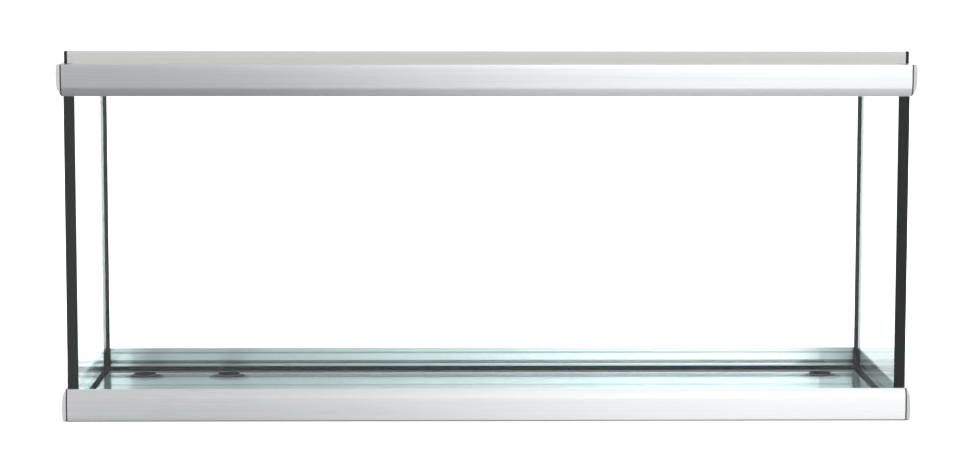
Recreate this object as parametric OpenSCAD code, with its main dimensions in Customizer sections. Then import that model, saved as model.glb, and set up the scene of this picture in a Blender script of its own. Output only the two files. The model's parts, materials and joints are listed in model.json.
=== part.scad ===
// Glass aquarium tank with a hinged glass cover, in millimetres.
// +X runs along the length, +Y to the back, +Z up.
// The origin is the middle of the footprint, on the plane the tank rests on.

/* [Glass] */
// Outer length of the glass box
tank_length = 1200; // [800:10:1500]
// Outer width of the glass box, front to back
tank_width = 400; // [340:10:600]
// Height from the resting plane to the top of the frame
tank_height = 510; // [350:5:700]
// Thickness of the wall panes and of the base pane
pane_t = 10; // [8:1:12]
// Thickness of the silicone layer in each glass joint
joint_t = 1.5; // [1:0.1:2]
// Leg of the silicone bead along each inside edge
bead_leg = 5; // [3:0.5:6]
// Thickness of the strengthening strips
brace_t = 8; // [6:1:10]
// Width of the strips along the front and back panes
brace_w = 40; // [30:5:60]
// Width of the strip that ties front to back
cross_brace_w = 120; // [80:10:200]

/* [Frame] */
// Height of the top and the bottom frame rail
rail_h = 45; // [40:1:50]
// Wall thickness of the frame rails
rail_wall = 2; // [1.6:0.1:2.4]
// Reach of the top rail beyond the glass at its fullest
top_reach = 10.5; // [9:0.5:12]
// Reach of the bottom rail beyond the glass at its fullest
bottom_reach = 8.4; // [8:0.1:10]
// Height of the sloped edge next to each rail's lip
slope_h = 10; // [6:1:12]
// Thickness of the rubber gasket at each corner joint
gasket_t = 2; // [1.5:0.1:2.5]
// Thickness of the rubber strip under the bottom frame
underlay_t = 1; // [0.5:0.5:1.5]

/* [Cover] */
// Thickness of the glass cover
cover_t = 5; // [4:0.5:5]
// Height of the cover's handle profile above the top frame
handle_rise = 18; // [14:1:24]
// Depth of the handle profile, front to back
handle_d = 16; // [14:1:20]
// Thickness of each end cap on the handle profile
end_cap_t = 4.5; // [3:0.5:6]
// Distance from the middle of the tank to the middle of each hinge
hinge_x = 567; // [300:1:567]

/* [Filter unions] */
// Places of the three unions along the length
union_x = [-525, -395, 525];
// Distance of the unions behind the middle of the tank
union_y = 139; // [100:1:145]
// Radius of the hose bore in each union
hose_bore_r = 10; // [8:0.5:10]
// Outer radius of the flange under the base pane
flange_r = 30.5; // [26:0.5:32]

/* [Hidden] */
$fn = 64;
half_l = tank_length / 2;
half_w = tank_width / 2;
inner_l = half_l - pane_t;
inner_w = half_w - pane_t;
side_pane_end = inner_w - joint_t;
base_z = 3;
floor_z = base_z + pane_t;
glass_foot_z = 3.2;
glass_top_z = tank_height - rail_wall - 0.5;
top_lip_z = tank_height - rail_h;
brace_z = tank_height - 32;
brace_top_z = brace_z + brace_t;
brace_end = half_l - 16;
cross_seal_t = 1;
cross_z = brace_top_z + cross_seal_t;
cross_end = inner_w - 12;

// Shapes that are joined run into each other by overlap, and cutting shapes run past by cut_over
overlap = 0.5;
cut_over = 1;
sliver = 0.01;
// Clearances: between parts that slide or touch, around the cover glass, and where parts are fitted
slide_gap = 0.05;
glass_gap = 0.1;
fit_gap = 0.2;
// The corner beads stop this far under the braces
bead_gap = 1;

// Rail sections: reach beyond the glass at the lip, at the slope's end and at the far edge
lip_gap = 0.5;
top_lip_r = 3;
top_slope_r = 9.1;
top_edge_r = 10.1;
bottom_lip_r = 2.5;
bottom_slope_r = 7.3;
bottom_edge_r = 7.9;
edge_round = 0.8;
foot_t = 2;
foot_in = 1.5;
skin_r = 2;
skin_groove_r = 1.7;
skin_end = 40;
skin_low_top = 20.3;
skin_high = 25.7;
skin_groove = 36.4;
skin_foot = 38.9;
flange_in = 16;
leg_in = 10.8;
leg_t = 1.5;
leg_h = 12;
ledge_in = 20;
ledge_drop = 8;
ledge_t = 2;
swell_steps = 8;

// Corner joints: the rails stop at these distances past the glass corner
top_rail_past = 1.4;
bottom_rail_past = 0;
mitre_in = 30;
past_all = 40;
key_gap = 0.8;
key_leg = 14;
top_key_r = 6.5;
top_key_rise = 4;
bottom_key_r = 5.2;
key_slope_gap = 1.5;
key_top_gap = 0.3;
key_bore_room = 3;
side_key_leg = 38;
key_rise_r = 1.6;
key_rise_z = 42.5;
screw_r = 1.15;
screw_head_r = 2.2;
screw_head_t = 1.2;
screw_len = 11;
screw_in = 8;
screw_out = 3.6;
screw_hole_gap = 0.15;

// Cover: levels and hinge line
cover_z = tank_height - 6.5;
cover_top_z = cover_z + cover_t;
cover_front_y = -half_w + 17;
cover_back_y = half_w - 28;
cover_end = half_l - 14.5;
handle_y = -half_w + 13;
handle_wall = 1.6;
handle_z = tank_height + 0.5;
handle_top_z = tank_height + handle_rise;
handle_half = half_l - end_cap_t;
jaw_half = half_l - 15;
jaw_t = 1.1;
jaw_d = 19;
cover_gasket_w = 6;
cover_gasket_y = handle_y + jaw_d + 2;
plug_len = 15;
hinge_y = half_w - 18.5;
hinge_z = tank_height - 1;
hinge_half = 20;
knuckle_r = 3.5;
knuckle_w = 8;
knuckle_gap = 0.4;
pin_r = 1.25;
pin_short = 0.3;
base_bore_r = pin_r + 0.02;
leaf_bore_r = pin_r + 0.05;
plate_t = 1.9;
plate_front_y = half_w - leg_in - 1;
plate_back_y = half_w + 8.5;
leaf_reach = 31;
leaf_back = 4;
leaf_plate_t = 2;
hinge_screw_y = half_w + 4;
hinge_screw_len = 6;
hinge_screw_step = 14;

// Filter union, plug and seals
union_z = 0.4;
union_flange_t = 1.6;
flange_bevel = 0.6;
flange_seal_r = flange_r - 6;
neck_r = 13.5;
neck_top_z = floor_z + 1;
plug_bore_r = hose_bore_r + 1.5;
plug_seat_z = 8;
glass_hole_r = neck_r + 1;
lock_ring_r = 17.5;
lock_ring_t = 1.3;
notch_r = 1.5;
notch_out = 0.6;
notch_count = 6;
cap_r = 16.8;
cap_z = neck_top_z + 0.45;
cap_rim = 0.5;
cap_rise = 0.9;
dome_facets = 400;
coin_slot_half = 7;
coin_slot_w = 2;
coin_slot_depth = 0.8;
stem_r = plug_bore_r - 0.3;
stem_end_z = plug_seat_z + 0.3;
o_ring_section = 0.75;
groove_r = plug_bore_r - 2 * o_ring_section - 0.1;
groove_z = 10.9;
groove_half = 0.85;

glass_colour = [0.80, 0.93, 0.90, 0.35];
rail_colour = "silver";
cap_colour = "gainsboro";
rubber_colour = [0.12, 0.12, 0.13];
plastic_colour = [0.16, 0.16, 0.17];
grey_plastic_colour = [0.5, 0.5, 0.51];
steel_colour = "lightgray";

// ---- Placing helpers ----

function reversed(list) = [for (i = [len(list) - 1 : -1 : 0]) list[i]];

// Extrudes a (y, z) outline along X, centred
module along_x(length) {
    rotate([90, 0, 90])
        linear_extrude(length, center = true)
            children();
}

// Turns a piece modelled for the back to the front
module front_side() {
    mirror([0, 1, 0])
        children();
}

// Moves a piece modelled at the origin's +X +Y quarter to a corner of the glass
module at_corner(side_x, side_y) {
    mirror([side_x < 0 ? 1 : 0, 0, 0])
        mirror([0, side_y < 0 ? 1 : 0, 0])
            translate([half_l, half_w, 0])
                children();
}

module at_all_corners() {
    for (side_x = [-1, 1], side_y = [-1, 1])
        at_corner(side_x, side_y)
            children();
}

// Mirrors a piece modelled at +X to the given side
module on_side(side_x) {
    mirror([side_x < 0 ? 1 : 0, 0, 0])
        children();
}

// A box from its low corner to its high corner
module block(low, high) {
    translate(low)
        cube(high - low);
}

// ---- Glass ----

// Flat pane from corner to corner
module pane(low, high) {
    color(glass_colour)
        block(low, high);
}

module rear_glass() {
    pane([-half_l, inner_w, glass_foot_z], [half_l, half_w, glass_top_z]);
}

module front_glass() {
    front_side()
        rear_glass();
}

module right_glass() {
    pane([inner_l, -side_pane_end, glass_foot_z], [half_l, side_pane_end, glass_top_z]);
}

module left_glass() {
    on_side(-1)
        right_glass();
}

module base_glass() {
    base_l = inner_l - joint_t;
    difference() {
        pane([-base_l, -side_pane_end, base_z], [base_l, side_pane_end, floor_z]);
        color(glass_colour)
            for (x = union_x)
                translate([x, union_y, 0])
                    cylinder(h = floor_z + 1, r = glass_hole_r);
    }
}

module rear_brace() {
    pane([-brace_end, side_pane_end - brace_w, brace_z], [brace_end, side_pane_end, brace_top_z]);
}

module front_brace() {
    front_side()
        rear_brace();
}

module cross_brace() {
    pane([-cross_brace_w / 2, -cross_end, cross_z], [cross_brace_w / 2, cross_end, cross_z + brace_t]);
}

// ---- Silicone ----

// Points of a bead's hollow face, from the wall down and across, about the inside corner at 0, 0
bead_face = [for (a = [0 : 15 : 90]) [-bead_leg + bead_leg * sin(a), -bead_leg + bead_leg * cos(a)]];

module bead_outline() {
    polygon(concat([[0, 0]], bead_face));
}

// Layer between a wide pane and a side pane's edge, with its bead inside the tank
module corner_seal() {
    color(rubber_colour) {
        translate([-pane_t, -pane_t - joint_t, glass_foot_z])
            cube([pane_t, joint_t, glass_top_z - glass_foot_z]);
        translate([-pane_t, -pane_t, floor_z + bead_leg])
            linear_extrude(brace_z - bead_gap - floor_z - bead_leg)
                bead_outline();
    }
}

// Bead and joint layer along one edge of the base pane, as a (y, z) outline against a wall
module base_seal_outline(wall) {
    bead = [for (p = bead_face) [wall + p[0], floor_z - p[1]]];
    polygon(concat(
        [[wall - joint_t, floor_z], [wall - joint_t, glass_foot_z], [wall, glass_foot_z]],
        reversed(bead)
    ));
}

// Two long strips at the front and back, and two short ones between them
module base_seal() {
    short_half = inner_w - bead_leg - slide_gap;
    color(rubber_colour)
        for (turn = [0, 180])
            rotate(turn) {
                along_x(2 * inner_l)
                    base_seal_outline(inner_w);
                rotate(-90)
                    along_x(2 * short_half)
                        base_seal_outline(inner_l);
            }
}

module brace_seals() {
    color(rubber_colour)
        for (side_y = [-1, 1])
            mirror([0, side_y < 0 ? 1 : 0, 0]) {
                block([-brace_end, side_pane_end, brace_z], [brace_end, inner_w, brace_top_z]);
                block([-cross_brace_w / 2, side_pane_end - brace_w, brace_top_z],
                      [cross_brace_w / 2, cross_end, cross_z]);
            }
}

// ---- Frame rails ----

// Reach of a rail's face at height h, from the far edge up to the slope
function face_r(h, edge_r, slope_r, reach) =
    let (share = (h - rail_wall) / (rail_h - slope_h - rail_wall))
    edge_r + (slope_r - edge_r) * share + (reach - (edge_r + slope_r) / 2) * sin(180 * share);

// Points of the face at even steps, moved in by inset, and down by up to a third of that at the slope
function face_points(edge_r, slope_r, reach, inset) = [
    for (i = [0 : swell_steps])
        let (h = rail_wall + (rail_h - slope_h - rail_wall) * i / swell_steps)
        [face_r(h, edge_r, slope_r, reach) - inset, h - i / swell_steps * inset / 3]
];

// Rail cover: a (reach, height) outline with its far edge at height 0 and its web in to web_end
module rail_cover(lip_r, slope_r, edge_r, reach, web_end) {
    outer = face_points(edge_r, slope_r, reach, 0);
    inner = face_points(edge_r, slope_r, reach, rail_wall);
    polygon(concat(
        [[web_end, rail_wall], [web_end, 0], [edge_r - edge_round, 0]],
        outer,
        [[lip_r, rail_h], [lip_gap, rail_h]],
        [[lip_gap, rail_h - foot_t], [lip_r - foot_in, rail_h - foot_t]],
        reversed(inner)
    ));
}

module top_cover(web_end) {
    rail_cover(top_lip_r, top_slope_r, top_edge_r, top_reach, web_end);
}

module bottom_cover(web_end) {
    rail_cover(bottom_lip_r, bottom_slope_r, bottom_edge_r, bottom_reach, web_end);
}

// Whole top rail section: cover, leg inside the glass, and the ledge that carries the cover glass
module top_section() {
    translate([0, tank_height])
        mirror([0, 1]) {
            top_cover(-leg_in - leg_t);
            translate([-leg_in - leg_t, 0])
                square([leg_t, leg_h]);
            translate([-ledge_in, ledge_drop])
                square([ledge_in - leg_in - leg_t / 2, ledge_t]);
        }
}

// Whole bottom rail section: cover and the flange under the base pane
module bottom_section() {
    translate([0, underlay_t])
        bottom_cover(-flange_in);
}

// Inner skin of the bottom rail against the glass, grooved, with a slot between its two parts
module bottom_skin() {
    translate([0, underlay_t])
        polygon([
            [lip_gap, skin_high],
            [skin_r, skin_high],
            [skin_r, rail_h - foot_t + overlap],
            [lip_gap, rail_h - foot_t + overlap],
            [lip_gap, skin_foot],
            [skin_groove_r, skin_foot],
            [skin_groove_r, skin_groove],
            [lip_gap, skin_groove]
        ]);
    translate([lip_gap, underlay_t + rail_wall - overlap])
        square([skin_r - lip_gap, skin_low_top - rail_wall + overlap]);
}

// Plan of one rail with both ends mitred, straight past the glass corner
module mitre_plan(half_length, half_width, past) {
    polygon([
        [-half_length - past, half_width + past_all],
        [half_length + past, half_width + past_all],
        [half_length + past, half_width + past],
        [half_length - mitre_in, half_width - mitre_in],
        [-half_length + mitre_in, half_width - mitre_in],
        [-half_length - past, half_width + past]
    ]);
}

// Rail along X at the back, from a section child
module rail(half_length, half_width, past) {
    intersection() {
        translate([0, half_width, 0])
            along_x(2 * (half_length + past) + cut_over)
                children();
        linear_extrude(tank_height + cut_over)
            mitre_plan(half_length, half_width, past);
    }
}

module top_rail(half_length, half_width) {
    color(rail_colour)
        rail(half_length, half_width, top_rail_past)
            top_section();
}

// Countersunk screw hole or screw, pointing up from the underside of the bottom rail
module frame_screw(extra) {
    translate([0, 0, underlay_t - (extra > 0 ? sliver : 0)])
        cylinder(h = screw_head_t, r1 = screw_head_r + extra, r2 = screw_r + extra);
    translate([0, 0, underlay_t])
        cylinder(h = screw_len, r = screw_r + extra);
}

// Screw places on the rail along X at the back
module rail_screw_places(half_length, half_width) {
    for (side = [-1, 1])
        translate([side * (half_length - screw_in), half_width + screw_out, 0])
            children();
}

// The inner skin stops short of the corners by skin_short
module bottom_rail(half_length, half_width, skin_short) {
    color(rail_colour)
        difference() {
            union() {
                rail(half_length, half_width, bottom_rail_past)
                    bottom_section();
                translate([0, half_width, 0])
                    along_x(2 * (half_length - skin_short))
                        bottom_skin();
            }
            rail_screw_places(half_length, half_width)
                frame_screw(screw_hole_gap);
        }
}

module top_rail_rear() {
    hinge_holes = [for (side = [-1, 1], step = [-1, 1]) side * (hinge_x + step * hinge_screw_step / 2)];
    difference() {
        top_rail(half_l, half_w);
        color(rail_colour)
            for (x = hinge_holes)
                translate([x, hinge_screw_y, tank_height - leg_h])
                    cylinder(h = leg_h + cut_over, r = screw_r + screw_hole_gap);
    }
}

module top_rail_front() {
    front_side()
        top_rail(half_l, half_w);
}

module top_rail_left() {
    rotate(90)
        top_rail(half_w, half_l);
}

module top_rail_right() {
    rotate(-90)
        top_rail(half_w, half_l);
}

module bottom_rail_rear() {
    bottom_rail(half_l, half_w, 0);
}

module bottom_rail_front() {
    front_side()
        bottom_rail_rear();
}

module bottom_rail_left() {
    rotate(90)
        bottom_rail(half_w, half_l, skin_end);
}

module bottom_rail_right() {
    rotate(-90)
        bottom_rail(half_w, half_l, skin_end);
}

// ---- Frame corners ----

// A quarter turn of the rail cover about the glass corner
module top_turn() {
    translate([0, 0, tank_height])
        mirror([0, 0, 1])
            rotate_extrude(angle = 90)
                top_cover(lip_gap);
}

module bottom_turn() {
    translate([0, 0, underlay_t])
        rotate_extrude(angle = 90)
            bottom_cover(lip_gap);
}

// Corner cap: the part of the turn beyond both gaskets
module corner_cap(past) {
    color(cap_colour)
        intersection() {
            children();
            translate([past + gasket_t, past + gasket_t, -cut_over])
                cube([past_all, past_all, tank_height + 2 * cut_over]);
        }
}

// Gasket: the two slices of the turn between the rails and the cap
module corner_gasket(past) {
    color(rubber_colour)
        intersection() {
            children();
            translate([past, past, -cut_over])
                difference() {
                    cube([past_all, past_all, tank_height + 2 * cut_over]);
                    translate([gasket_t, gasket_t, -cut_over])
                        cube([past_all, past_all, tank_height + 4 * cut_over]);
                }
        }
}

module top_corner(side_x, side_y) {
    at_corner(side_x, side_y)
        corner_cap(top_rail_past)
            top_turn();
}

module bottom_corner(side_x, side_y) {
    at_corner(side_x, side_y)
        corner_cap(bottom_rail_past)
            bottom_turn();
}

module top_corner_gaskets() {
    at_all_corners()
        corner_gasket(top_rail_past)
            top_turn();
}

module bottom_corner_gaskets() {
    at_all_corners()
        corner_gasket(bottom_rail_past)
            bottom_turn();
}

// L-shaped key inside the hollow of two rails, around the glass corner
module corner_key(low_z, high_z, long_leg_r, key_r, side_leg) {
    color(plastic_colour) {
        block([-key_leg, long_leg_r, low_z], [sliver, key_r, high_z]);
        block([key_gap, -side_leg, low_z], [key_r, sliver, high_z]);
        translate([0, 0, low_z])
            rotate_extrude(angle = 90)
                translate([key_gap, 0])
                    square([key_r - key_gap, high_z - low_z]);
    }
}

module top_corner_keys() {
    low_z = top_lip_z + slope_h + top_key_rise;
    at_all_corners()
        corner_key(low_z, tank_height - rail_wall - key_top_gap, key_gap, top_key_r, key_leg);
}

module bottom_corner_keys() {
    low_z = underlay_t + rail_wall + fit_gap;
    high_z = underlay_t + rail_h - slope_h - key_slope_gap;
    at_all_corners()
        difference() {
            union() {
                corner_key(low_z, high_z, skin_r + fit_gap, bottom_key_r, side_key_leg);
                color(plastic_colour)
                    block([key_gap, -side_key_leg, high_z - overlap], [key_rise_r, sliver, key_rise_z]);
            }
            for (turn = [0, 1])
                mirror([turn, -turn, 0])
                    translate([-screw_in, screw_out, 0])
                        cylinder(h = screw_len + key_bore_room, r = screw_r + slide_gap);
        }
}

module frame_screws() {
    color(steel_colour)
        for (turn = [0, 180])
            rotate(turn) {
                rail_screw_places(half_l, half_w)
                    frame_screw(0);
                rotate(90)
                    rail_screw_places(half_w, half_l)
                        frame_screw(0);
            }
}

module underlay_strips() {
    inner = 12;
    outer = bottom_edge_r - 2;
    end_gap = 1;
    color(rubber_colour)
        for (turn = [0, 180])
            rotate(turn) {
                block([-half_l, half_w - inner, 0], [half_l, half_w + outer, underlay_t]);
                block([half_l - inner, -half_w + inner + end_gap, 0],
                      [half_l + outer, half_w - inner - end_gap, underlay_t]);
            }
}

// ---- Filter unions in the base ----

module at_union(index) {
    translate([union_x[index], union_y, 0])
        children();
}

module filter_union(index) {
    flange_top = union_z + union_flange_t;
    color(grey_plastic_colour)
        at_union(index)
            rotate_extrude()
                polygon([
                    [hose_bore_r, union_z],
                    [flange_r, union_z],
                    [flange_r, flange_top - flange_bevel],
                    [flange_r - flange_bevel, flange_top],
                    [neck_r, flange_top],
                    [neck_r, neck_top_z],
                    [plug_bore_r, neck_top_z],
                    [plug_bore_r, plug_seat_z],
                    [hose_bore_r, plug_seat_z]
                ]);
}

module union_gaskets() {
    flange_top = union_z + union_flange_t;
    color(rubber_colour)
        for (index = [0 : 2])
            at_union(index)
                translate([0, 0, flange_top])
                    difference() {
                        cylinder(h = base_z - flange_top, r = flange_seal_r);
                        translate([0, 0, -cut_over])
                            cylinder(h = base_z, r = neck_r + 2 * slide_gap);
                    }
}

module union_lock_rings() {
    tall = lock_ring_t + 2 * cut_over;
    color(grey_plastic_colour)
        for (index = [0 : 2])
            at_union(index)
                translate([0, 0, floor_z])
                    difference() {
                        cylinder(h = lock_ring_t, r = lock_ring_r);
                        translate([0, 0, -cut_over])
                            cylinder(h = tall, r = neck_r + slide_gap);
                        for (notch = [1 : notch_count])
                            rotate(notch * 360 / notch_count)
                                translate([lock_ring_r + notch_out, 0, -cut_over])
                                    cylinder(h = tall, r = notch_r);
                    }
}

// Plug with a low domed head, a coin slot and a groove for its ring
module union_cap(index) {
    dome_r = (cap_r * cap_r + cap_rise * cap_rise) / (2 * cap_rise);
    cap_top = cap_z + cap_rim + cap_rise;
    color(plastic_colour)
        at_union(index)
            difference() {
                union() {
                    intersection() {
                        translate([0, 0, cap_top - dome_r])
                            sphere(r = dome_r, $fn = dome_facets);
                        translate([0, 0, cap_z])
                            cylinder(h = cap_rim + cap_rise + cut_over, r = cap_r);
                    }
                    rotate_extrude()
                        polygon([
                            [0, stem_end_z],
                            [stem_r, stem_end_z],
                            [stem_r, groove_z - groove_half],
                            [groove_r, groove_z - groove_half],
                            [groove_r, groove_z + groove_half],
                            [stem_r, groove_z + groove_half],
                            [stem_r, cap_z + overlap],
                            [0, cap_z + overlap]
                        ]);
                }
                block([-coin_slot_half, -coin_slot_w / 2, cap_top - coin_slot_depth],
                      [coin_slot_half, coin_slot_w / 2, cap_top + cut_over]);
            }
}

module cap_o_ring(index) {
    color(rubber_colour)
        at_union(index)
            translate([0, 0, groove_z])
                rotate_extrude()
                    translate([plug_bore_r - o_ring_section - slide_gap, 0])
                        circle(r = o_ring_section, $fn = 32);
}

// ---- Cover hinges ----

// Barrel on the hinge line between two X places
module barrel(from_x, to_x) {
    translate([from_x, hinge_y, hinge_z])
        rotate([0, 90, 0])
            cylinder(h = to_x - from_x, r = knuckle_r);
}

module hinge_bore(r) {
    translate([hinge_x - hinge_half - cut_over, hinge_y, hinge_z])
        rotate([0, 90, 0])
            cylinder(h = 2 * (hinge_half + cut_over), r = r);
}

// Fixed half, screwed to the back rail
module hinge_base(side_x) {
    low_x = hinge_x - hinge_half;
    high_x = hinge_x + hinge_half;
    plate_z = tank_height + slide_gap;
    plate_top = tank_height + plate_t;
    ends = [[low_x, low_x + knuckle_w], [high_x - knuckle_w, high_x]];
    color(plastic_colour)
        on_side(side_x)
            difference() {
                union() {
                    block([low_x, plate_front_y, plate_z], [high_x, plate_back_y, plate_top]);
                    for (end = ends) {
                        barrel(end[0], end[1]);
                        block([end[0], hinge_y, plate_z], [end[1], half_w - leg_in, plate_top]);
                    }
                }
                hinge_bore(base_bore_r);
                hinge_screw_places()
                    hinge_screw(2 * slide_gap);
            }
}

module hinge_screw_places() {
    for (step = [-1, 1])
        translate([hinge_x + step * hinge_screw_step / 2, hinge_screw_y, tank_height + plate_t])
            children();
}

// Countersunk screw pointing down from the top of the hinge plate
module hinge_screw(extra) {
    translate([0, 0, -screw_head_t])
        cylinder(h = screw_head_t + extra, r1 = screw_r + extra, r2 = screw_head_r + 2 * extra);
    translate([0, 0, -hinge_screw_len - plate_t])
        cylinder(h = hinge_screw_len + plate_t, r = screw_r + extra);
}

module hinge_screws() {
    color(steel_colour)
        for (side_x = [-1, 1])
            on_side(side_x)
                hinge_screw_places()
                    hinge_screw(0);
}

module hinge_pins() {
    pin_half = hinge_half - pin_short;
    color(steel_colour)
        for (side_x = [-1, 1])
            on_side(side_x)
                translate([hinge_x - pin_half, hinge_y, hinge_z])
                    rotate([0, 90, 0])
                        cylinder(h = 2 * pin_half, r = pin_r);
}

// Moving half, gripping the back edge of the cover glass between two plates
module hinge_leaf(side_x) {
    low_x = hinge_x - hinge_half + knuckle_w + knuckle_gap;
    high_x = hinge_x + hinge_half - knuckle_w - knuckle_gap;
    plate_z = cover_top_z + glass_gap;
    plate_top = plate_z + leaf_plate_t;
    jaw_top = cover_z - glass_gap;
    back_y = cover_back_y + leaf_back;
    front_y = hinge_y - leaf_reach;
    color(plastic_colour)
        on_side(side_x)
            difference() {
                union() {
                    barrel(low_x, high_x);
                    block([low_x, front_y, plate_z], [high_x, hinge_y, plate_top]);
                    block([low_x, cover_back_y + fit_gap, jaw_top - leaf_plate_t],
                          [high_x, back_y, plate_top]);
                    block([low_x, front_y, jaw_top - leaf_plate_t], [high_x, back_y, jaw_top]);
                }
                hinge_bore(leaf_bore_r);
            }
}

// ---- Cover ----

module cover_glass() {
    pane([-cover_end, cover_front_y, cover_z], [cover_end, cover_back_y, cover_top_z]);
}

module cover_gaskets() {
    ledge_z = tank_height - ledge_drop;
    color(rubber_colour)
        for (side_x = [-1, 1])
            on_side(side_x)
                block([cover_end - cover_gasket_w, cover_gasket_y, ledge_z + fit_gap],
                      [cover_end, cover_back_y, cover_z]);
}

// Handle profile along the front edge of the cover, hollow, with a jaw for the glass below
module lid_handle_profile() {
    hollow_z = handle_z + handle_wall;
    jaw_top = cover_z - glass_gap;
    color(rail_colour) {
        along_x(2 * handle_half)
            difference() {
                handle_outline(0, handle_z);
                handle_outline(handle_wall, hollow_z);
            }
        along_x(2 * jaw_half) {
            translate([handle_y, cover_top_z + glass_gap])
                square([handle_d, handle_z - cover_top_z]);
            translate([handle_y, jaw_top - jaw_t])
                square([handle_wall, handle_z - jaw_top + jaw_t]);
            translate([handle_y, jaw_top - jaw_t])
                square([jaw_d, jaw_t]);
        }
    }
}

// Box outline of the handle with softened top edges, moved in by inset
module handle_outline(inset, low_z) {
    soft = 1.5;
    nick = 0.3 * soft;
    y0 = handle_y + inset;
    y1 = handle_y + handle_d - inset;
    top = handle_top_z - inset;
    polygon([
        [y0, low_z],
        [y0, top - soft],
        [y0 + nick, top - nick],
        [y0 + soft, top],
        [y1 - soft, top],
        [y1 - nick, top - nick],
        [y1, top - soft],
        [y1, low_z]
    ]);
}

// End cap with a plug that pushes into the hollow of the handle
module lid_end_cap(side_x) {
    play = 0.15;
    plug_z = handle_z + handle_wall + play;
    color(plastic_colour)
        on_side(side_x) {
            translate([handle_half + end_cap_t / 2, 0, 0])
                along_x(end_cap_t)
                    handle_outline(0, handle_z);
            translate([handle_half - plug_len / 2 + slide_gap, 0, 0])
                along_x(plug_len + 2 * slide_gap)
                    handle_outline(handle_wall + play, plug_z);
        }
}

front_glass();
rear_glass();
left_glass();
right_glass();
base_glass();
front_brace();
rear_brace();
cross_brace();
at_corner(-1, -1) corner_seal();  // corner_seal_front_left
at_corner(1, -1) corner_seal();  // corner_seal_front_right
at_corner(-1, 1) corner_seal();  // corner_seal_rear_left
at_corner(1, 1) corner_seal();  // corner_seal_rear_right
base_seal();
brace_seals();
top_rail_front();
top_rail_rear();
top_rail_left();
top_rail_right();
top_corner(-1, -1);  // top_corner_front_left
top_corner(1, -1);  // top_corner_front_right
top_corner(-1, 1);  // top_corner_rear_left
top_corner(1, 1);  // top_corner_rear_right
top_corner_gaskets();
top_corner_keys();
bottom_rail_front();
bottom_rail_rear();
bottom_rail_left();
bottom_rail_right();
bottom_corner(-1, -1);  // bottom_corner_front_left
bottom_corner(1, -1);  // bottom_corner_front_right
bottom_corner(-1, 1);  // bottom_corner_rear_left
bottom_corner(1, 1);  // bottom_corner_rear_right
bottom_corner_gaskets();
bottom_corner_keys();
frame_screws();
underlay_strips();
filter_union(0);  // filter_union_left
filter_union(1);  // filter_union_middle
filter_union(2);  // filter_union_right
union_gaskets();
union_lock_rings();
hinge_base(-1);  // hinge_base_left
hinge_base(1);  // hinge_base_right
hinge_screws();
hinge_pins();
lid_handle_profile();
lid_end_cap(-1);  // lid_end_cap_left
lid_end_cap(1);  // lid_end_cap_right
cover_glass();
cover_gaskets();
hinge_leaf(-1);  // hinge_leaf_left
hinge_leaf(1);  // hinge_leaf_right
union_cap(0);  // union_cap_left
union_cap(1);  // union_cap_middle
union_cap(2);  // union_cap_right
cap_o_ring(0);  // cap_o_ring_left
cap_o_ring(1);  // cap_o_ring_middle
cap_o_ring(2);  // cap_o_ring_right
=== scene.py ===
"""Materials, light, floor and camera for the glass aquarium tank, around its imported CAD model.

Lengths are in metres, in the model's own frame: +X right, +Y back, +Z up, floor at Z 0.
"""
import json
import math

import bpy
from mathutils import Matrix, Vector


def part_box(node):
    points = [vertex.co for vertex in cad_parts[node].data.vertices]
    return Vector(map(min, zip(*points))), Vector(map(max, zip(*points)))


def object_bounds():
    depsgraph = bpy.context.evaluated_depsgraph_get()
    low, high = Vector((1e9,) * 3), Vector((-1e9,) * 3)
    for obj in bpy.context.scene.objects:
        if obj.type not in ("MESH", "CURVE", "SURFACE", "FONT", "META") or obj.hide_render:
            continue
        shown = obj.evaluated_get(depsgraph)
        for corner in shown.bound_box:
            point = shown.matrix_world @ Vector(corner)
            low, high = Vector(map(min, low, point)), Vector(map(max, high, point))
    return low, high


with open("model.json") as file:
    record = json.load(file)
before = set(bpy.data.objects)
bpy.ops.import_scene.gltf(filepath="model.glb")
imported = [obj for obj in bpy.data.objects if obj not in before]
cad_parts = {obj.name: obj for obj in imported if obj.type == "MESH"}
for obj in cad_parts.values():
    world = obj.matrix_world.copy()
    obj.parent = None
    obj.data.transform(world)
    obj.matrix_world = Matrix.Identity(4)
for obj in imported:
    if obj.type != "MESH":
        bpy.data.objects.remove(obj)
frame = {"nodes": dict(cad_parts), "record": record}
cad_low, cad_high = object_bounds()
scene = bpy.context.scene
MM = 0.001


# ---------------------------------------------------------------- node helpers

def add(tree, kind, inputs=None, **settings):
    """A new node. Inputs are sockets to link from or plain values."""
    made = tree.nodes.new(kind)
    for name, value in settings.items():
        setattr(made, name, value)
    for name, value in (inputs or {}).items():
        if isinstance(value, bpy.types.NodeSocket):
            tree.links.new(value, made.inputs[name])
        else:
            made.inputs[name].default_value = value
    return made


def calc(tree, operation, *values, clamp=False):
    """The result of one Math node."""
    made = add(tree, "ShaderNodeMath", dict(enumerate(values)), operation=operation)
    made.use_clamp = clamp
    return made.outputs[0]


def blend(tree, factor, low, high):
    """A number between low and high."""
    made = add(tree, "ShaderNodeMix", data_type="FLOAT")
    for name, value in (("Factor", factor), ("A", low), ("B", high)):
        socket = next(s for s in made.inputs if s.name == name and s.type == "VALUE")
        if isinstance(value, bpy.types.NodeSocket):
            tree.links.new(value, socket)
        else:
            socket.default_value = value
    return made.outputs[0]


def tint(tree, factor, low, high):
    """A colour between low and high, each three numbers or a socket."""
    made = add(tree, "ShaderNodeMix", data_type="RGBA")
    tree.links.new(factor, made.inputs[0])
    for socket, value in ((made.inputs[6], low), (made.inputs[7], high)):
        if isinstance(value, bpy.types.NodeSocket):
            tree.links.new(value, socket)
        else:
            socket.default_value = (*value, 1)
    return made.outputs[2]


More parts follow.
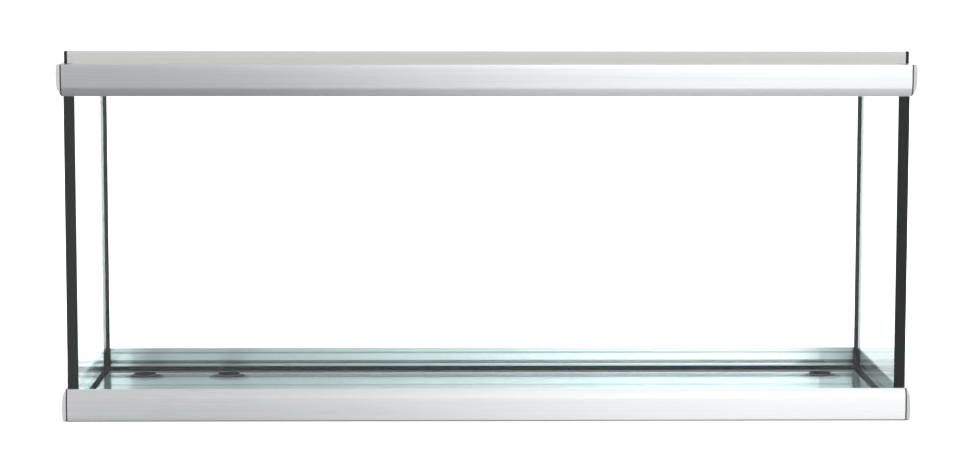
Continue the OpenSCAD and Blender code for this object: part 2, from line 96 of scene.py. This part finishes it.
def ramp(tree, factor, stops):
    """The value at factor of a ramp with (position, value) stops, straight between them."""
    made = add(tree, "ShaderNodeValToRGB", {"Fac": factor})
    elements = made.color_ramp.elements
    while len(elements) < len(stops):
        elements.new(0.5)
    for element, (position, value) in zip(elements, stops):
        element.position = position
    for element, (position, value) in zip(elements, stops):
        element.color = (*even(value), 1)
    return add(tree, "ShaderNodeSeparateColor", {"Color": made.outputs["Color"]}).outputs["Red"]


def spread(tree, value, low, high):
    """Value stretched so that low gives 0 and high gives 1."""
    inputs = {"Value": value, "From Min": low, "From Max": high}
    return add(tree, "ShaderNodeMapRange", inputs).outputs[0]


def distance(tree, vector, axis):
    """How far a vector reaches along an axis, either way."""
    parts = add(tree, "ShaderNodeSeparateXYZ", {"Vector": vector})
    return calc(tree, "ABSOLUTE", parts.outputs[axis])


def object_place(tree):
    return add(tree, "ShaderNodeTexCoord").outputs["Object"]


def face_direction(tree):
    return add(tree, "ShaderNodeNewGeometry").outputs["True Normal"]


def noise(tree, stretch, detail=2.0, rough=0.5):
    """Noise from 0 to 1 with stretch cycles per metre along X, Y and Z."""
    place = object_place(tree)
    scaled = add(tree, "ShaderNodeVectorMath", {0: place, 1: stretch}, operation="MULTIPLY")
    inputs = {"Vector": scaled.outputs[0], "Scale": 1.0, "Detail": detail, "Roughness": rough}
    return add(tree, "ShaderNodeTexNoise", inputs).outputs["Fac"]


def even(value):
    """The same value along X, Y and Z."""
    return (value, value, value)


def shade(colour, factor):
    return tuple(factor * part for part in colour)


def new_material(name):
    made = bpy.data.materials.new(name)
    made.use_nodes = True
    made.node_tree.nodes.clear()
    return made, made.node_tree


def close(tree, surface, **others):
    """Joins the finished shader, and a volume if there is one, to the material's output."""
    add(tree, "ShaderNodeOutputMaterial", {"Surface": surface, **others})


def bump(tree, height, depth):
    """A normal from a height of 0 to 1, depth metres deep."""
    inputs = {"Height": height, "Distance": depth, "Strength": 1.0}
    return add(tree, "ShaderNodeBump", inputs).outputs["Normal"]


# ---------------------------------------------------------------- materials

TOP_METAL = (0.775, 0.785, 0.80)
BOTTOM_METAL = (0.765, 0.77, 0.78)
PALER_INNER_METAL = (0.94, 0.945, 0.95)
GLASS_IOR = 1.52


def brushed_metal(name, along_y, colour, metallic, glass_face):
    """Aluminium with a fine straight grain along X, or along Y.

    It is paler up to glass_face from the middle, and has painted shade in its recesses: an ambient-occlusion
    mask darkens its colour there.
    """
    made, tree = new_material(name)
    fast = 1400.0
    slow = 9.0
    stretch = (fast, slow, fast) if along_y else (slow, fast, fast)
    fine = noise(tree, stretch, detail=3.0, rough=0.6)
    coarse = noise(tree, shade(stretch, 0.28), detail=2.0)
    cloudy = noise(tree, (3.0, 3.0, 9.0), detail=1.0)
    grain = calc(tree, "ADD", calc(tree, "MULTIPLY", fine, 0.5), calc(tree, "MULTIPLY", coarse, 0.5))
    colours = tint(tree, spread(tree, grain, 0.3, 0.7), shade(colour, 0.95), shade(colour, 1.05))
    # A paler colour on the faces up to glass_face from the middle.
    outward = distance(tree, object_place(tree), "X" if along_y else "Y")
    inside = calc(tree, "LESS_THAN", outward, glass_face)
    colours = tint(tree, inside, colours, PALER_INNER_METAL)
    # Painted shade: the colour darkens towards a tenth of itself in the rail's recesses and cavities, by an
    # ambient-occlusion mask.
    painted_recess_shade = add(tree, "ShaderNodeAmbientOcclusion", {"Distance": 16 * MM}, only_local=True, samples=8)
    painted_recess_shade = spread(tree, painted_recess_shade.outputs["AO"], 0.3, 0.95)
    colours = tint(tree, painted_recess_shade, shade(colour, 0.1), colours)
    rough = calc(tree, "ADD", blend(tree, fine, 0.24, 0.36), blend(tree, cloudy, -0.02, 0.02))
    line = add(tree, "ShaderNodeCombineXYZ", {"Y" if along_y else "X": 1.0}).outputs[0]
    shader = add(tree, "ShaderNodeBsdfPrincipled", {
        "Base Color": colours, "Metallic": metallic, "Roughness": rough,
        "Anisotropic": 0.95, "Anisotropic Rotation": 0.25, "Tangent": line,
        "Normal": bump(tree, grain, 0.02 * MM)})
    close(tree, shader.outputs[0])
    return made


def satin_metal(name, colour):
    """Matt anodised aluminium with a faint etched grain."""
    made, tree = new_material(name)
    etched = noise(tree, (900.0, 1500.0, 1500.0), detail=3.0, rough=0.65)
    drawn = noise(tree, (4.0, 420.0, 420.0), detail=2.0)
    cloudy = noise(tree, (4.0, 12.0, 12.0), detail=2.0)
    colours = tint(tree, drawn, shade(colour, 0.96), shade(colour, 1.03))
    shader = add(tree, "ShaderNodeBsdfPrincipled", {
        "Base Color": colours, "Metallic": 0.85, "Roughness": blend(tree, cloudy, 0.46, 0.56),
        "Normal": bump(tree, etched, 0.015 * MM)})
    close(tree, shader.outputs[0])
    return made


def moulded_plastic(name, colour, worn, shine, roughness, depth):
    """Moulded plastic: fine spark-eroded grain, faint flow clouds and slightly paler edges."""
    made, tree = new_material(name)
    grain = noise(tree, even(1300.0), detail=4.0, rough=0.7)
    cloudy = noise(tree, even(35.0), detail=3.0)
    sharpness = add(tree, "ShaderNodeNewGeometry").outputs["Pointiness"]
    edge = calc(tree, "MULTIPLY", spread(tree, sharpness, 0.51, 0.58), cloudy, clamp=True)
    body = tint(tree, cloudy, shade(colour, 0.93), shade(colour, 1.05))
    body = tint(tree, calc(tree, "MULTIPLY", grain, 0.35), body, shade(colour, 0.8))
    shader = add(tree, "ShaderNodeBsdfPrincipled", {
        "Base Color": tint(tree, edge, body, worn), "Specular IOR Level": shine,
        "Roughness": blend(tree, grain, roughness - 0.07, roughness + 0.07),
        "Normal": bump(tree, grain, depth)})
    close(tree, shader.outputs[0])
    return made


def matt_rubber(name):
    """Black rubber with a chalky bloom and a fine pitted skin."""
    made, tree = new_material(name)
    pits = noise(tree, even(2200.0), detail=3.0, rough=0.7)
    bloom = noise(tree, even(60.0), detail=4.0, rough=0.6)
    shader = add(tree, "ShaderNodeBsdfPrincipled", {
        "Base Color": tint(tree, bloom, (0.016, 0.016, 0.017), (0.042, 0.042, 0.044)),
        "Roughness": blend(tree, pits, 0.62, 0.82), "Specular IOR Level": 0.35,
        "Normal": bump(tree, pits, 0.03 * MM)})
    close(tree, shader.outputs[0])
    return made


def black_silicone(name):
    """Black silicone: dull where it is bonded to the glass, with a faint gloss on its hollow face."""
    made, tree = new_material(name)
    waves = noise(tree, even(18.0), detail=2.0)
    specks = noise(tree, even(500.0), detail=2.0)
    facing = face_direction(tree)
    squarest = calc(tree, "MAXIMUM", distance(tree, facing, "X"), distance(tree, facing, "Y"))
    squarest = calc(tree, "MAXIMUM", squarest, distance(tree, facing, "Z"))
    hollow = calc(tree, "LESS_THAN", squarest, 0.97)
    black = tint(tree, specks, (0.008, 0.009, 0.0095), (0.013, 0.014, 0.0145))
    body = add(tree, "ShaderNodeBsdfDiffuse", {"Color": black})
    gloss = add(tree, "ShaderNodeBsdfGlossy", {
        "Roughness": blend(tree, waves, 0.25, 0.35), "Normal": bump(tree, specks, 0.01 * MM)})
    share = calc(tree, "MULTIPLY", hollow, 0.005)
    mixed = add(tree, "ShaderNodeMixShader", {0: share, 1: body.outputs[0], 2: gloss.outputs[0]})
    close(tree, mixed.outputs[0])
    return made


def turned_steel(name):
    """Bright stainless steel with fine turning marks and small scratches."""
    made, tree = new_material(name)
    marks = noise(tree, (2600.0, 2600.0, 500.0), detail=2.0)
    dull = noise(tree, even(300.0), detail=3.0)
    shader = add(tree, "ShaderNodeBsdfPrincipled", {
        "Base Color": tint(tree, dull, (0.58, 0.58, 0.60), (0.74, 0.74, 0.76)), "Metallic": 1.0,
        "Roughness": blend(tree, marks, 0.2, 0.38), "Normal": bump(tree, marks, 0.01 * MM)})
    close(tree, shader.outputs[0])
    return made


def float_glass(name, thin_axis):
    """Clear float glass, faintly green inside, with satin ground edges round a pane thin along one axis."""
    made, tree = new_material(name)
    wipe = noise(tree, (14.0, 14.0, 40.0), detail=4.0, rough=0.6)
    grit = noise(tree, even(1800.0), detail=2.0)
    face = add(tree, "ShaderNodeBsdfGlass", {
        "Color": tint(tree, wipe, (0.985, 0.998, 0.996), (1.0, 1.0, 1.0)),
        "Roughness": 0.0, "IOR": GLASS_IOR})
    edge = add(tree, "ShaderNodeBsdfGlass", {
        "Color": (0.86, 0.97, 0.94, 1), "Roughness": blend(tree, grit, 0.16, 0.3), "IOR": GLASS_IOR})
    ground = calc(tree, "LESS_THAN", distance(tree, face_direction(tree), thin_axis), 0.98)
    glass = add(tree, "ShaderNodeMixShader", {0: ground, 1: face.outputs[0], 2: edge.outputs[0]})
    green = add(tree, "ShaderNodeVolumeAbsorption", {"Color": (0.0, 0.77, 0.75, 1), "Density": 4.2})
    close(tree, glass.outputs[0], Volume=green.outputs[0])
    return made


# ---------------------------------------------------------------- finish of the CAD pieces

FLAT_ANGLE = 0.5
CREASE_ANGLE = 35
ROUND_ANGLE = 40


def smooth_by_angle():
    """A node modifier that shades smooth except over edges sharper than CREASE_ANGLE."""
    sharp_from = math.radians(CREASE_ANGLE)
    group = bpy.data.node_groups.new("smooth_by_angle", "GeometryNodeTree")
    group.interface.new_socket("Geometry", in_out="INPUT", socket_type="NodeSocketGeometry")
    group.interface.new_socket("Geometry", in_out="OUTPUT", socket_type="NodeSocketGeometry")
    mesh = add(group, "NodeGroupInput").outputs[0]
    angle = add(group, "GeometryNodeInputMeshEdgeAngle").outputs["Unsigned Angle"]
    sharp = add(group, "FunctionNodeCompare", {"A": angle, "B": sharp_from}, operation="GREATER_THAN")
    faces = add(group, "GeometryNodeSetShadeSmooth", {"Geometry": mesh, "Shade Smooth": True}, domain="FACE")
    edges = add(group, "GeometryNodeSetShadeSmooth", {
        "Geometry": faces.outputs[0], "Selection": sharp.outputs[0], "Shade Smooth": False}, domain="EDGE")
    add(group, "NodeGroupOutput", {0: edges.outputs[0]})
    return group


def finish_edges(piece, width, swell):
    """Welds a piece, rounds its sharp edges by width, and pushes its skin out by swell."""
    if "custom_normal" in piece.data.attributes:
        piece.data.attributes.remove(piece.data.attributes["custom_normal"])
    weld = piece.modifiers.new("weld", "WELD")
    weld.merge_threshold = 0.002 * MM
    flat = piece.modifiers.new("merge_flat_faces", "DECIMATE")
    flat.decimate_type = "DISSOLVE"
    flat.angle_limit = math.radians(FLAT_ANGLE)
    if width:
        bevel = piece.modifiers.new("round_edges", "BEVEL")
        bevel.width = width
        bevel.segments = 3
        bevel.limit_method = "ANGLE"
        bevel.angle_limit = math.radians(ROUND_ANGLE)
        bevel.miter_outer = "MITER_ARC"
    if swell:
        out = piece.modifiers.new("swell", "DISPLACE")
        out.strength = swell
        out.mid_level = 0.0
    smooth = piece.modifiers.new("smooth_by_angle", "NODES")
    smooth.node_group = SMOOTH
    weighted = piece.modifiers.new("flat_face_normals", "WEIGHTED_NORMAL")
    weighted.keep_sharp = True


SMOOTH = smooth_by_angle()
PAST_THE_PANE = 2.1 * MM
SIDE_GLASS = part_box("right_glass")[1][0] + PAST_THE_PANE
FRONT_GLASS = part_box("rear_glass")[1][1] + PAST_THE_PANE
MATERIALS = {
    "glass_x": float_glass("glass_x", "X"),
    "glass_y": float_glass("glass_y", "Y"),
    "glass_z": float_glass("glass_z", "Z"),
    "top_rail_long": brushed_metal("top_rail_long", False, TOP_METAL, 1.0, FRONT_GLASS),
    "top_rail_side": brushed_metal("top_rail_side", True, TOP_METAL, 1.0, SIDE_GLASS),
    # Painted light: the bottom rails are less metallic (0.75), so a diffuse share brightens them evenly,
    # standing in for light thrown up from the floor.
    "bottom_rail_long": brushed_metal("bottom_rail_long", False, BOTTOM_METAL, 0.75, FRONT_GLASS),
    "bottom_rail_side": brushed_metal("bottom_rail_side", True, BOTTOM_METAL, 0.75, SIDE_GLASS),
    "handle": satin_metal("handle", (0.655, 0.655, 0.646)),
    "corner_cap": moulded_plastic(
        "corner_cap", (0.5, 0.5, 0.505), even(0.7), shine=0.5, roughness=0.42, depth=0.01 * MM),
    "black_plastic": moulded_plastic(
        "black_plastic", (0.012, 0.012, 0.0135), even(0.05), shine=0.006, roughness=0.55, depth=0.03 * MM),
    "grey_plastic": moulded_plastic(
        "grey_plastic", (0.27, 0.27, 0.275), even(0.36), shine=0.1, roughness=0.5, depth=0.02 * MM),
    "gasket": matt_rubber("gasket"),
    "silicone": black_silicone("silicone"),
    "steel": turned_steel("steel"),
}
EDGE_ROUND_MM = {
    "glass": 0.8, "cover_glass": 0.8, "rail": 0.25, "handle": 0.3, "corner_cap": 0.35,
    "black_plastic": 0.3, "grey_plastic": 0.3, "gasket": 0.2, "silicone": 0.0, "steel": 0.12,
}
SWELL_MM = {"silicone": 0.05}
SLOT_OF = {row["node"]: row["material_slot"] for row in frame["record"]["subparts"]}


def thin_axis(name):
    """X, Y or Z: the way a pane is thin."""
    low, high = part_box(name)
    size = high - low
    return "xyz"[min(range(3), key=lambda axis: size[axis])]


def material_key(name):
    """Which material a node has: its slot's, or the one for its pane or rail."""
    slot = SLOT_OF[name]
    if slot in ("glass", "cover_glass"):
        return "glass_" + thin_axis(name)
    if slot == "rail":
        level = name.split("_")[0]
        return level + ("_rail_side" if name.endswith(("left", "right")) else "_rail_long")
    return slot


for name, piece in frame["nodes"].items():
    piece.data.materials.clear()
    piece.data.materials.append(MATERIALS[material_key(name)])
    slot = SLOT_OF[name]
    finish_edges(piece, EDGE_ROUND_MM[slot] * MM, SWELL_MM.get(slot, 0.0) * MM)


# ---------------------------------------------------------------- floor

def seen_directly(tree):
    """1 where a path comes from the camera through nothing but glass, and 0 after any bounce."""
    path = add(tree, "ShaderNodeLightPath")
    bounced = calc(tree, "SUBTRACT", path.outputs["Ray Depth"], path.outputs["Transmission Depth"])
    return calc(tree, "LESS_THAN", bounced, 0.5)


def floor_material():
    """Pale paper that also glows to the camera, rising from nothing at the object to full at
    PAINTED_SHADOW_REACH: the missing glow near and under the object is a painted shadow.
    """
    made, tree = new_material("floor")
    faint = noise(tree, even(1.5), detail=2.0)
    paper = add(tree, "ShaderNodeBsdfDiffuse", {"Color": tint(tree, faint, even(0.90), even(0.92))})
    place = object_place(tree)
    # Painted shadow: the glow fades out within PAINTED_SHADOW_REACH of the object's footprint and is absent
    # under it.
    past_end = calc(tree, "SUBTRACT", distance(tree, place, "X"), cad_high[0])
    past_side = calc(tree, "SUBTRACT", distance(tree, place, "Y"), cad_high[1])
    out_of_painted_shadow = calc(tree, "DIVIDE", calc(tree, "MAXIMUM", past_end, past_side), PAINTED_SHADOW_REACH, clamp=True)
    glow = add(tree, "ShaderNodeEmission", {"Strength": calc(tree, "MULTIPLY", out_of_painted_shadow, seen_directly(tree))})
    shader = add(tree, "ShaderNodeAddShader", {0: paper.outputs[0], 1: glow.outputs[0]})
    close(tree, shader.outputs[0])
    return made


def pale_floor(half):
    """A wide, flat, near-white floor, overexposed around the object as in a studio photograph."""
    mesh = bpy.data.meshes.new("floor")
    corners = [(-half, -half, 0), (half, -half, 0), (half, half, 0), (-half, half, 0)]
    mesh.from_pydata(corners, [], [(0, 1, 2, 3)])
    mesh.materials.append(floor_material())
    floor = bpy.data.objects.new("floor", mesh)
    scene.collection.objects.link(floor)
    floor.visible_glossy = False


PAINTED_SHADOW_REACH = 150 * MM
pale_floor(90.0)


# ---------------------------------------------------------------- light

DIRECT_WHITE = 2.3
STUDIO_STRENGTH = 2.4
DOME_STRENGTH = 1.8
FAR_SIDE_GAIN = 2.1
GLASS_FACES_TO_FAR_SIDE = 5.5
CARDS_CENTRE = 0.0155
CARDS_START = 0.142
CARD_HEIGHT = 0.43
CARD_HALF_HEIGHT = 0.045
CARD_ON_DIM_SIDE = 0.37
CARD_ON_BRIGHT_SIDE = 0.26


def studio_light(tree, across, height):
    """What shiny surfaces see: a soft light dim to the left of straight ahead and bright to the right.

    Across is -1 to 1 and more from left to right, and height is 0 straight down and 1 straight up.
    The light has a dark gap just below level, which the front pane mirrors, with a grey card at each end.
    """
    slant = calc(tree, "MULTIPLY_ADD", across, 0.5, 0.5, clamp=True)
    sides = ramp(tree, slant, (
        (0.0, 0.45), (0.25, 0.25), (0.36, 0.0), (0.43, 0.0), (0.466, 0.18), (0.484, 0.34),
        (0.502, 0.52), (0.521, 0.78), (0.54, 1.0), (0.575, 1.0), (0.6, 0.8), (0.8, 0.5)))
    dim = ramp(tree, height, (
        (0.0, 0.06), (0.25, 0.18), (0.37, 0.22), (0.395, 0.0), (0.426, 0.0), (0.434, 0.1), (0.49, 0.12),
        (0.53, 0.19), (0.57, 0.24), (0.7, 0.26), (0.8, 0.21), (0.92, 0.17), (1.0, 0.3)))
    bright = ramp(tree, height, (
        (0.0, 0.14), (0.2, 0.5), (0.36, 1.05), (0.395, 0.0), (0.426, 0.0), (0.434, 0.07), (0.49, 0.08),
        (0.53, 0.6), (0.57, 1.05), (0.7, 0.95), (0.8, 0.62), (0.92, 0.38), (1.0, 0.42)))
    off_centre = calc(tree, "ABSOLUTE", calc(tree, "SUBTRACT", across, CARDS_CENTRE))
    at_ends = calc(tree, "GREATER_THAN", off_centre, CARDS_START)
    in_gap = calc(tree, "COMPARE", height, CARD_HEIGHT, CARD_HALF_HEIGHT)
    card_grey = blend(tree, sides, CARD_ON_DIM_SIDE, CARD_ON_BRIGHT_SIDE)
    cards = calc(tree, "MULTIPLY", calc(tree, "MULTIPLY", at_ends, in_gap), card_grey)
    studio = calc(tree, "MAXIMUM", blend(tree, sides, dim, bright), cards)
    studio = calc(tree, "MULTIPLY", studio, STUDIO_STRENGTH)
    return calc(tree, "MULTIPLY", studio, far_side_gain(tree, sides, height))


def far_side_gain(tree, sides, height):
    """More light on what is seen through several panes, except from above, to make up for the glass."""
    faces = add(tree, "ShaderNodeLightPath").outputs["Transmission Depth"]
    far_side = calc(tree, "GREATER_THAN", faces, GLASS_FACES_TO_FAR_SIDE)
    far_side = calc(tree, "MULTIPLY", far_side, ramp(tree, height, ((0.78, 1.0), (0.92, 0.0))))
    share = ramp(tree, sides, ((0.0, 0.54), (0.6, 0.72), (1.0, 1.0)))
    gain = calc(tree, "MULTIPLY", share, FAR_SIDE_GAIN)
    return blend(tree, far_side, 1.0, gain)


def studio_world():
    """White where seen directly or through glass, a dome for matt surfaces, a studio for shiny ones."""
    world = bpy.data.worlds.new("studio")
    world.use_nodes = True
    tree = world.node_tree
    tree.nodes.clear()
    place = add(tree, "ShaderNodeTexCoord").outputs["Generated"]
    axes = add(tree, "ShaderNodeSeparateXYZ", {"Vector": place})
    ahead = calc(tree, "MAXIMUM", calc(tree, "ABSOLUTE", axes.outputs["Y"]), 0.05)
    across = calc(tree, "DIVIDE", axes.outputs["X"], ahead)
    height = calc(tree, "MULTIPLY_ADD", axes.outputs["Z"], 0.5, 0.5, clamp=True)
    dome = ramp(tree, height, ((0.0, 0.35), (0.5, 0.45), (0.7, 0.75), (1.0, 0.9)))
    dome = calc(tree, "MULTIPLY", dome, DOME_STRENGTH)
    bounces = add(tree, "ShaderNodeLightPath").outputs["Diffuse Depth"]
    matt = calc(tree, "GREATER_THAN", bounces, 0.5)
    strength = blend(tree, matt, studio_light(tree, across, height), dome)
    strength = blend(tree, seen_directly(tree), strength, DIRECT_WHITE)
    shader = add(tree, "ShaderNodeBackground", {"Color": (1, 1, 1, 1), "Strength": strength})
    add(tree, "ShaderNodeOutputWorld", {"Surface": shader.outputs[0]})
    world.cycles.sampling_method = "NONE"
    scene.world = world


studio_world()


# ---------------------------------------------------------------- camera and view

LENS_MM = 103.105
CAMERA_PLACE = (-0.0712, -4.0931, 0.6901)
LOOK_DOWN = 6.157
LEAN = -0.056
TURN = -0.887


def photo_camera():
    """A long lens in front of the tank, looking slightly down at it."""
    data = bpy.data.cameras.new("camera")
    data.sensor_width = 36.0
    data.lens = LENS_MM
    data.clip_start = 0.1
    data.clip_end = 400.0
    camera = bpy.data.objects.new("camera", data)
    scene.collection.objects.link(camera)
    camera.location = CAMERA_PLACE
    camera.rotation_euler = (math.radians(90 - LOOK_DOWN), math.radians(LEAN), math.radians(TURN))
    scene.camera = camera


photo_camera()
scene.view_settings.view_transform = "Standard"
scene.view_settings.look = "None"
cycles = scene.cycles
cycles.use_denoising = True
cycles.denoiser = "OPENIMAGEDENOISE"
cycles.max_bounces = 24
cycles.diffuse_bounces = 3
cycles.glossy_bounces = 8
cycles.transmission_bounces = 24
cycles.transparent_max_bounces = 24
cycles.caustics_reflective = True
cycles.caustics_refractive = True
cycles.blur_glossy = 0.5
